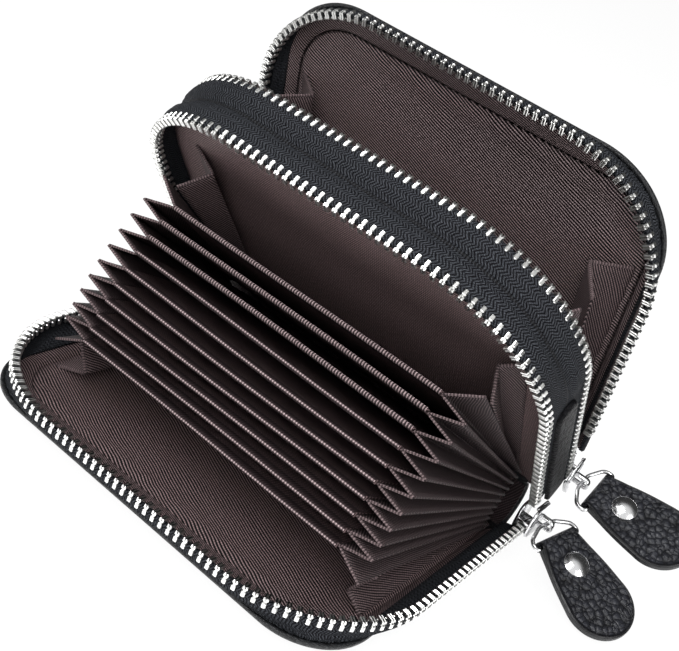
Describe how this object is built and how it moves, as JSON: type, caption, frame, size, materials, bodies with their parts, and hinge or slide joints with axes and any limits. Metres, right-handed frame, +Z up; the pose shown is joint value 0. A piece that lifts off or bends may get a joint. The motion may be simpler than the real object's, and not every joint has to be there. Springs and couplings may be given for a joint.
{
  "type": "zipper card wallet",
  "caption": "Double zip-around card wallet lying open on its front cover, with folding leaves, an accordion of card dividers and two leather zip pulls.",
  "frame": {"origin": "on the underside of the front cover, directly below the front fold line, midway along the spine", "axes": "+X along the spine towards the zip pulls, +Y from the outer edge to the spine, +Z up, away from the surface the front cover lies on"},
  "size_m": [0.1407, 0.1012, 0.0951],
  "materials": {
    "cover_leather": "black pebbled leather, satin",
    "tab_leather": "black coarse pebbled leather with painted edges",
    "lining_twill": "dark brown twill lining",
    "divider_twill": "dark brown twill over a thin stiffener",
    "zip_tape": "charcoal herringbone woven tape",
    "seam_binding": "black stitched seam",
    "zip_teeth": "bright nickel plated zip teeth",
    "slider_metal": "bright nickel plated casting",
    "ring_wire": "bright plated wire",
    "rivet_metal": "polished domed rivet",
    "stiffener_board": "bonded leather fibre board, hidden"
  },
  "bodies": {
    "front_cover": {"front_cover_leather": "cover_leather", "front_cover_board": "stiffener_board", "front_cover_lining": "lining_twill", "front_zip_tape": "zip_tape", "front_zip_teeth": "zip_teeth", "front_zip_stop": "slider_metal", "front_spine_leather": "cover_leather", "front_spine_lining": "lining_twill", "front_cover_gussets": "divider_twill"},
    "middle_leaf": {"middle_board": "stiffener_board", "middle_front_lining": "lining_twill", "middle_rear_lining": "lining_twill", "middle_front_zip_tape": "zip_tape", "middle_front_zip_teeth": "zip_teeth", "middle_seam": "seam_binding", "middle_rear_zip_tape": "zip_tape", "middle_rear_zip_teeth": "zip_teeth", "middle_end_patches": "cover_leather", "middle_front_gussets": "divider_twill", "middle_rear_gussets": "divider_twill", "rear_zip_stop": "slider_metal", "rear_spine_leather": "cover_leather", "rear_spine_lining": "lining_twill"},
    "rear_cover": {"rear_cover_leather": "cover_leather", "rear_cover_board": "stiffener_board", "rear_cover_lining": "lining_twill", "rear_zip_tape": "zip_tape", "rear_zip_teeth": "zip_teeth", "rear_cover_gussets": "divider_twill"},
    "front_slider": {"front_slider": "slider_metal"},
    "front_ring": {"front_pull_ring": "ring_wire"},
    "front_tab": {"front_pull_tab": "tab_leather", "front_pull_rivet": "rivet_metal"},
    "rear_slider": {"rear_slider": "slider_metal"},
    "rear_ring": {"rear_pull_ring": "ring_wire"},
    "rear_tab": {"rear_pull_tab": "tab_leather", "rear_pull_rivet": "rivet_metal"},
    "card_divider_01": {"card_divider_01": "divider_twill", "card_gusset_01": "divider_twill"},
    "card_divider_02": {"card_divider_02": "divider_twill", "card_gusset_02": "divider_twill"},
    "card_divider_03": {"card_divider_03": "divider_twill", "card_gusset_03": "divider_twill"},
    "card_divider_04": {"card_divider_04": "divider_twill", "card_gusset_04": "divider_twill"},
    "card_divider_05": {"card_divider_05": "divider_twill", "card_gusset_05": "divider_twill"},
    "card_divider_06": {"card_divider_06": "divider_twill", "card_gusset_06": "divider_twill"},
    "card_divider_07": {"card_divider_07": "divider_twill", "card_gusset_07": "divider_twill"},
    "card_divider_08": {"card_divider_08": "divider_twill", "card_gusset_08": "divider_twill"},
    "card_divider_09": {"card_divider_09": "divider_twill", "card_gusset_09": "divider_twill"},
    "card_divider_10": {"card_divider_10": "divider_twill", "card_gusset_10": "divider_twill"}
  },
  "joints": [
    {"name": "middle_leaf_fold", "type": "hinge", "parent": "front_cover", "child": "middle_leaf", "pos_m": [0, 0, 0.01085], "axis": [-1, 0, 0], "range_deg": [-49.9, 15], "deforming": ["front_spine_leather", "front_spine_lining", "front_cover_gussets", "middle_front_gussets", "card_gusset_01", "card_gusset_02", "card_gusset_03", "card_gusset_04", "card_gusset_05", "card_gusset_06", "card_gusset_07", "card_gusset_08", "card_gusset_09", "card_gusset_10"]},
    {"name": "rear_cover_fold", "type": "hinge", "parent": "middle_leaf", "child": "rear_cover", "pos_m": [0, 0.01391, 0.01995], "axis": [-1, 0, 0], "range_deg": [-21.4, 35], "deforming": ["rear_spine_leather", "rear_spine_lining", "rear_cover_gussets", "middle_rear_gussets"]},
    {"name": "card_divider_01_fold", "type": "hinge", "parent": "front_cover", "child": "card_divider_01", "pos_m": [0, 0, 0.01085], "axis": [-1, 0, 0], "range_deg": [-34.01, 10.23]},
    {"name": "card_divider_02_fold", "type": "hinge", "parent": "front_cover", "child": "card_divider_02", "pos_m": [0, 0, 0.01085], "axis": [-1, 0, 0], "range_deg": [-31.22, 9.39]},
    {"name": "card_divider_03_fold", "type": "hinge", "parent": "front_cover", "child": "card_divider_03", "pos_m": [0, 0, 0.01085], "axis": [-1, 0, 0], "range_deg": [-28.57, 8.59]},
    {"name": "card_divider_04_fold", "type": "hinge", "parent": "front_cover", "child": "card_divider_04", "pos_m": [0, 0, 0.01085], "axis": [-1, 0, 0], "range_deg": [-26.04, 7.84]},
    {"name": "card_divider_05_fold", "type": "hinge", "parent": "front_cover", "child": "card_divider_05", "pos_m": [0, 0, 0.01085], "axis": [-1, 0, 0], "range_deg": [-23.65, 7.12]},
    {"name": "card_divider_06_fold", "type": "hinge", "parent": "front_cover", "child": "card_divider_06", "pos_m": [0, 0, 0.01085], "axis": [-1, 0, 0], "range_deg": [-21.4, 6.44]},
    {"name": "card_divider_07_fold", "type": "hinge", "parent": "front_cover", "child": "card_divider_07", "pos_m": [0, 0, 0.01085], "axis": [-1, 0, 0], "range_deg": [-19.28, 5.8]},
    {"name": "card_divider_08_fold", "type": "hinge", "parent": "front_cover", "child": "card_divider_08", "pos_m": [0, 0, 0.01085], "axis": [-1, 0, 0], "range_deg": [-17.29, 5.2]},
    {"name": "card_divider_09_fold", "type": "hinge", "parent": "front_cover", "child": "card_divider_09", "pos_m": [0, 0, 0.01085], "axis": [-1, 0, 0], "range_deg": [-15.43, 4.65]},
    {"name": "card_divider_10_fold", "type": "hinge", "parent": "front_cover", "child": "card_divider_10", "pos_m": [0, 0, 0.01085], "axis": [-1, 0, 0], "range_deg": [-13.71, 4.13]},
    {"name": "front_slider_travel", "type": "slide", "parent": "front_cover", "child": "front_slider", "axis": [0, -1, 0], "range_m": [0, 0.038]},
    {"name": "rear_slider_travel", "type": "slide", "parent": "middle_leaf", "child": "rear_slider", "axis": [0, -0.6441, 0.7649], "range_m": [0, 0.038]},
    {"name": "front_ring_swing", "type": "hinge", "parent": "front_slider", "child": "front_ring", "pos_m": [0.0571, 0.0025, 0.01085], "axis": [-0.3152, -0.9016, -0.2963], "range_deg": [-45, 50]},
    {"name": "front_tab_swing", "type": "hinge", "parent": "front_ring", "child": "front_tab", "pos_m": [0.06138, 0.00143, 0.00954], "axis": [-0.3152, -0.9016, -0.2963], "range_deg": [-30, 45]},
    {"name": "rear_ring_swing", "type": "hinge", "parent": "rear_slider", "child": "rear_ring", "pos_m": [0.0571, 0.01552, 0.01804], "axis": [-0.0051, -0.8712, -0.4909], "range_deg": [-45, 50]},
    {"name": "rear_tab_swing", "type": "hinge", "parent": "rear_ring", "child": "rear_tab", "pos_m": [0.0617, 0.01552, 0.01799], "axis": [-0.0051, -0.8712, -0.4909], "range_deg": [-30, 45]}
  ],
  "couplings": [
    {"joint": "card_divider_01_fold", "follows": "middle_leaf_fold", "ratio": 0.68136},
    {"joint": "card_divider_02_fold", "follows": "middle_leaf_fold", "ratio": 0.62547},
    {"joint": "card_divider_03_fold", "follows": "middle_leaf_fold", "ratio": 0.57226},
    {"joint": "card_divider_04_fold", "follows": "middle_leaf_fold", "ratio": 0.52171},
    {"joint": "card_divider_05_fold", "follows": "middle_leaf_fold", "ratio": 0.47384},
    {"joint": "card_divider_06_fold", "follows": "middle_leaf_fold", "ratio": 0.42863},
    {"joint": "card_divider_07_fold", "follows": "middle_leaf_fold", "ratio": 0.38611},
    {"joint": "card_divider_08_fold", "follows": "middle_leaf_fold", "ratio": 0.34625},
    {"joint": "card_divider_09_fold", "follows": "middle_leaf_fold", "ratio": 0.30906},
    {"joint": "card_divider_10_fold", "follows": "middle_leaf_fold", "ratio": 0.27455}
  ]
}
